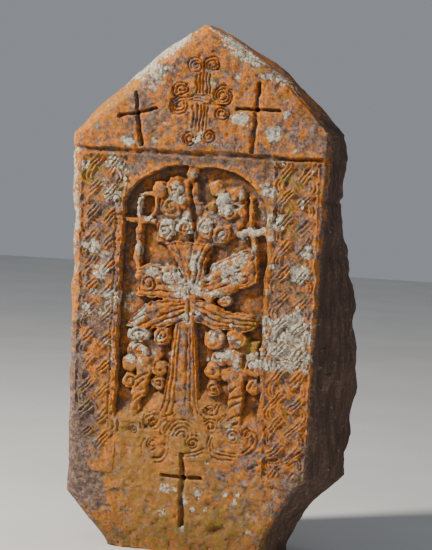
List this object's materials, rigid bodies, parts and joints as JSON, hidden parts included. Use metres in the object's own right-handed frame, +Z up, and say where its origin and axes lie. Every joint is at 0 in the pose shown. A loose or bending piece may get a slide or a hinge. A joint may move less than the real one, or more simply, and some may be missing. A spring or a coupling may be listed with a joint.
{
  "type": "khachkar",
  "caption": "Upright gabled memorial slab with a carved front: winged cross in an arched niche, plaited borders, incised crosses in the gable and at the foot",
  "frame": {"origin": "on the flat underside, on the axis that the front's borders and niche are laid out from; the carved front faces -Y", "axes": "+Z up, from the foot to the tip of the gable; +X to the right when facing the carved front; +Y from the front to the back"},
  "size_m": [0.9992, 0.325, 1.7739],
  "materials": {
    "stone": "weathered volcanic stone, largely grown over with orange, ochre and pale grey-green lichen, bare purple-grey where it shows"
  },
  "bodies": {
    "root": {"khachkar_stone": "stone"}
  },
  "joints": []
}
